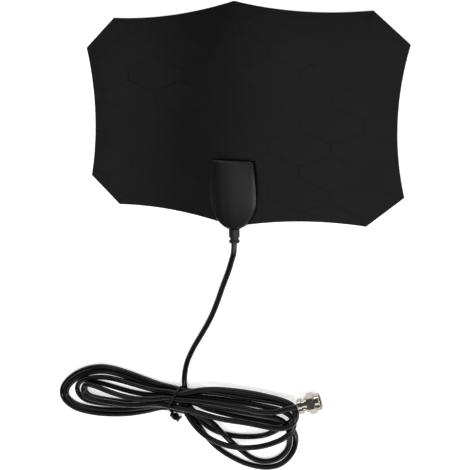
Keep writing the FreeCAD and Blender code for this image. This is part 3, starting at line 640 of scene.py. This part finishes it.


def film_black():
    """Satin film, with painted shade that darkens the conductor's raised lines in patches."""
    s = Surface("film_black", Specular_IOR_Level=0.10)
    s.colour(s.noise(size=0.05, detail=3.0), low=(0.0038, 0.0038, 0.0044), high=(0.0048, 0.0048, 0.0055))
    lines = s.above_bend(FILM_TOP_Y, FILM_BACK_Z, FILM_BEND_R, *FILM_SHADED_LINES)
    patches = s.spread(s.noise(size=0.045, detail=1.0), low=0.05, high=0.50, start=0.43, end=0.64)
    # painted shade: the raised lines are darkened in patches
    s.paint_shade(math_node(s.tree, "MULTIPLY", lines, patches), colour=(0.0006, 0.0006, 0.0008))
    s.roughness(s.noise(size=0.0016, detail=3.0), low=0.17, high=0.22)
    s.bump(s.noise(size=0.00030), depth=0.000002, strength=0.5)
    s.bump(s.noise(size=0.040, detail=1.0), depth=0.00025, strength=0.25)
    return s.material


def housing_black():
    """Moulded plastic with a very fine spark-eroded grain."""
    s = Surface("housing_black", Specular_IOR_Level=0.20)
    s.colour(s.noise(size=0.012, detail=3.0), low=(0.0026, 0.0026, 0.0030), high=(0.0036, 0.0036, 0.0040))
    s.roughness(s.noise(size=0.0012, detail=3.0), low=0.27, high=0.31)
    s.bump(s.cells(size=0.00035), depth=0.000002, strength=0.15)
    s.bump(s.noise(size=0.00018), depth=0.000001, strength=0.2)
    return s.material


def rubber_black(name, low, high):
    """Soft plastic of the cable, boot and tie, with roughness between low and high."""
    s = Surface(name, Specular_IOR_Level=0.2)
    s.colour(s.noise(size=0.006, detail=3.0), low=(0.0024, 0.0024, 0.0026), high=(0.0038, 0.0038, 0.0041))
    s.roughness(s.noise(size=0.0010, detail=3.0), low, high)
    s.bump(s.noise(size=0.00025), depth=0.000006, strength=0.5)
    s.bump(s.noise(size=0.004), depth=0.00003, strength=0.3)
    return s.material


def nickel():
    """Bright plating with fine turning marks about the plug's axis."""
    s = Surface("nickel", Metallic=1.0)
    across = s.turned(PLUG_AXIS.rotation_difference(Vector((1, 0, 0))).to_euler())
    s.colour(s.noise(size=0.0018, detail=3.0), low=(0.34, 0.315, 0.28), high=(0.43, 0.40, 0.365))
    s.roughness(s.noise(size=0.0007, detail=3.0), low=0.06, high=0.14)
    s.bump(s.rings(pitch=0.00024, place=across), depth=0.0000015, strength=0.3)
    s.bump(s.noise(size=0.0012), depth=0.00003, strength=0.35)
    return s.material


def bare_metal(name, low, high, rough):
    """Metal between two colours, with its range of roughness."""
    s = Surface(name, Metallic=1.0)
    s.colour(s.noise(size=0.0009, detail=3.0), low, high)
    s.roughness(s.noise(size=0.0005), *rough)
    s.bump(s.noise(size=0.00022), depth=0.000005, strength=0.5)
    return s.material


def plain_moulded(name, low, high, rough):
    """Plain moulded or pressed stuff between two colours, with its range of roughness."""
    s = Surface(name)
    s.colour(s.noise(size=0.002, detail=3.0), low, high)
    s.roughness(s.noise(size=0.0008), *rough)
    s.bump(s.noise(size=0.0004), depth=0.00001, strength=0.5)
    return s.material


def board_green():
    """Glossy solder mask over a fine weave."""
    s = Surface("board_green", Coat_Weight=0.3, Coat_Roughness=0.2)
    s.colour(s.cells(size=0.0016), low=(0.016, 0.10, 0.045), high=(0.030, 0.17, 0.075), start=0.30, end=0.36)
    s.roughness(s.noise(size=0.0006), low=0.32, high=0.44)
    s.bump(s.cells(size=0.0016), depth=0.00002, strength=0.4)
    return s.material


MATERIALS = {
    "film_black": film_black(),
    "conductor": bare_metal("conductor", (0.62, 0.62, 0.63), (0.76, 0.76, 0.77), rough=(0.28, 0.42)),
    "housing_black": housing_black(),
    "board_green": board_green(),
    "rivet_brass": bare_metal("rivet_brass", (0.60, 0.48, 0.22), (0.76, 0.64, 0.34), rough=(0.22, 0.36)),
    "ferrite": plain_moulded("ferrite", (0.045, 0.045, 0.05), (0.075, 0.075, 0.08), rough=(0.49, 0.61)),
    "copper": bare_metal("copper", (0.64, 0.33, 0.18), (0.78, 0.46, 0.28), rough=(0.20, 0.34)),
    "chip_tan": plain_moulded("chip_tan", (0.38, 0.30, 0.21), (0.50, 0.41, 0.30), rough=(0.39, 0.51)),
    "cable_black": rubber_black("cable_black", low=0.12, high=0.18),
    "boot_black": rubber_black("boot_black", low=0.36, high=0.46),
    "tie_black": rubber_black("tie_black", low=0.28, high=0.40),
    "nickel": nickel(),
    "dielectric_white": plain_moulded("dielectric_white", (0.74, 0.74, 0.71), (0.86, 0.86, 0.84),
                                      rough=(0.39, 0.51)),
}

for part in frame["record"]["subparts"]:
    for material_slot in frame["nodes"][part["node"]].material_slots:
        material_slot.material = MATERIALS[part["material_slot"]]
for piece, slot, body in ((cable, "cable_black", "antenna"), (twist_tie, "tie_black", "antenna"),
                          (nut_thread, "nickel", "coupling_nut")):
    piece.data.materials.append(MATERIALS[slot])
    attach(piece, body)
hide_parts("cable_lead", "cable_hank", "cable_tail")
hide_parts("cable_tie")

# Floor, wall and light
FLOOR_R = 2.2
FLOOR_RINGS = (0.4, 1.2)                        # radii where the flat floor is divided
FLOOR_SIDES = 64
WALL_ROUND = 0.5
WALL_ROUND_STEPS = 8
WALL_HEIGHT = 1.1
FLOOR_COLOUR = (0.80, 0.80, 0.80, 1)
FLOOR_GLOW = 0.62                               # lifts the floor to white, keeps the shadow
WORLD_COLOUR = (1, 1, 1, 1)
WORLD_LEVEL = 0.12
LAMP_AIM = Vector((-0.02, -0.07, 0.0))
# Soft boxes: the side that each shines from, its distance, its size and its power in watts
Lamp = namedtuple("Lamp", "name toward distance size power")
LAMPS = [
    Lamp("softbox_top", (-0.222, -0.079, 0.970), 1.4, (0.68, 1.08), 3.3),
    Lamp("softbox_left", (-0.592, -0.067, 0.803), 1.68, (0.222, 1.1), 1.18),
    Lamp("softbox_fill", (0.139, -0.200, 0.970), 1.4, (0.35, 0.6), 1.2),
    Lamp("softbox_right", (0.93, -0.18, 0.31), 1.4, (0.7, 1.2), 12.0),
    Lamp("softbox_near", (0.46, -0.33, 0.82), 1.4, (0.30, 0.5), 8.0),
    Lamp("softbox_front", (-0.10, -0.90, 0.42), 1.6, (1.3, 0.4), 4.0),
    Lamp("softbox_back", (-0.35, 0.85, 0.35), 1.6, (1.2, 0.4), 4.0),
]


def floor_material():
    """White paint that takes shadows, with a glow that only the camera and reflections see."""
    material = bpy.data.materials.new("studio_white")
    material.use_nodes = True
    tree = material.node_tree
    nodes, links = tree.nodes, tree.links
    nodes.remove(nodes["Principled BSDF"])
    paint = nodes.new("ShaderNodeBsdfDiffuse")
    paint.inputs["Color"].default_value = FLOOR_COLOUR
    rays = nodes.new("ShaderNodeLightPath")
    seen = rays.outputs["Is Camera Ray"]
    for name in ("Is Glossy Ray", "Is Transmission Ray"):
        seen = math_node(tree, "MAXIMUM", seen, rays.outputs[name])
    glow = nodes.new("ShaderNodeEmission")
    links.new(math_node(tree, "MULTIPLY", seen, FLOOR_GLOW), glow.inputs["Strength"])
    both = nodes.new("ShaderNodeAddShader")
    links.new(paint.outputs["BSDF"], both.inputs[0])
    links.new(glow.outputs["Emission"], both.inputs[1])
    links.new(both.outputs["Shader"], nodes["Material Output"].inputs["Surface"])
    return material


def studio_floor():
    """A round floor that curves up into a low wall."""
    profile = [(r, 0.0) for r in (*FLOOR_RINGS, FLOOR_R)]
    for k in range(1, WALL_ROUND_STEPS + 1):
        a = math.pi / 2 * k / WALL_ROUND_STEPS
        profile.append((FLOOR_R + WALL_ROUND * math.sin(a), WALL_ROUND * (1 - math.cos(a))))
    profile.append((FLOOR_R + WALL_ROUND, WALL_HEIGHT))
    verts = [(0, 0, 0)]
    for r, z in profile:
        for k in range(FLOOR_SIDES):
            a = 2 * math.pi * k / FLOOR_SIDES
            verts.append((r * math.cos(a), r * math.sin(a), z))
    faces = [(0, 1 + k, 1 + (k + 1) % FLOOR_SIDES) for k in range(FLOOR_SIDES)]
    for row in range(len(profile) - 1):
        a, b = 1 + row * FLOOR_SIDES, 1 + (row + 1) * FLOOR_SIDES
        for k in range(FLOOR_SIDES):
            n = (k + 1) % FLOOR_SIDES
            faces.append((a + k, b + k, b + n, a + n))
    floor = add_mesh("studio_floor", verts, faces)
    floor.data.materials.append(floor_material())
    return floor


def softbox(lamp):
    """An area lamp that shines on the object, with its first side level."""
    light = bpy.data.lights.new(lamp.name, "AREA")
    light.shape = "RECTANGLE"
    light.size, light.size_y = lamp.size
    light.energy = lamp.power
    piece = add_object(lamp.name, light)
    away = Vector(lamp.toward).normalized()
    wide = (Vector((1, 0, 0)) - away * away.x).normalized()
    piece.location = LAMP_AIM + away * lamp.distance
    piece.rotation_euler = Matrix((wide, away.cross(wide), away)).transposed().to_euler()


def studio_world():
    """Faint even light from all round."""
    world = bpy.data.worlds.new("studio")
    world.use_nodes = True
    background = world.node_tree.nodes["Background"]
    background.inputs["Color"].default_value = WORLD_COLOUR
    background.inputs["Strength"].default_value = WORLD_LEVEL
    return world


studio_floor()
for lamp in LAMPS:
    softbox(lamp)
bpy.context.scene.world = studio_world()
